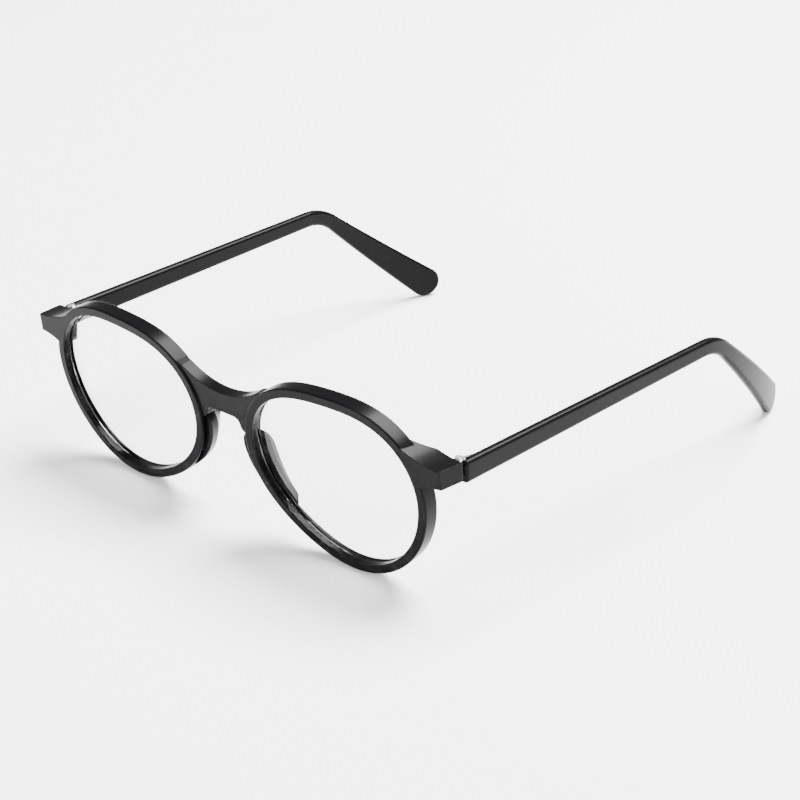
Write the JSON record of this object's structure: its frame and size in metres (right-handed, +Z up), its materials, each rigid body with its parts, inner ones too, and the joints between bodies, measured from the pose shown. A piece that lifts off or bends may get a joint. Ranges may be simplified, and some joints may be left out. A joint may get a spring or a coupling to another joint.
{
  "type": "eyeglasses",
  "caption": "Black acetate eyeglasses with round clear lenses, a keyhole bridge, built-up nose pads and folding temples with curved ear ends.",
  "frame": {"origin": "bottom centre of the bounding box, in the middle between the two temples; the rims and temple tips rest on z = 0", "axes": "+X towards the wearer's left, +Y from the front back to the temple tips, +Z up"},
  "size_m": [0.1352, 0.1393, 0.0443],
  "materials": {
    "acetate_black": "polished black cellulose acetate",
    "lens_clear": "clear uncoated lens",
    "hinge_steel": "bright plated hinge metal",
    "washer_brass": "copper-toned thin washer",
    "wire_steel": "plain drawn wire, hidden in the temple"
  },
  "bodies": {
    "front": {"front_frame": "acetate_black", "nose_pad_left": "acetate_black", "nose_pad_right": "acetate_black", "lens_left": "lens_clear", "lens_right": "lens_clear", "front_hinge_leaf_left": "hinge_steel", "front_hinge_leaf_right": "hinge_steel", "hinge_screw_left": "hinge_steel", "hinge_screw_right": "hinge_steel"},
    "left_temple": {"temple_left": "acetate_black", "temple_hinge_leaf_left": "hinge_steel", "hinge_washers_left": "washer_brass", "core_wire_left": "wire_steel"},
    "right_temple": {"temple_right": "acetate_black", "temple_hinge_leaf_right": "hinge_steel", "hinge_washers_right": "washer_brass", "core_wire_right": "wire_steel"}
  },
  "joints": [
    {"name": "left_temple_fold", "type": "hinge", "parent": "front", "child": "left_temple", "pos_m": [0.0642, -0.0585, 0.0329], "axis": [0, 0, 1], "range_deg": [-3, 85]},
    {"name": "right_temple_fold", "type": "hinge", "parent": "front", "child": "right_temple", "pos_m": [-0.0642, -0.0585, 0.0329], "axis": [0, 0, -1], "range_deg": [-3, 70]}
  ]
}
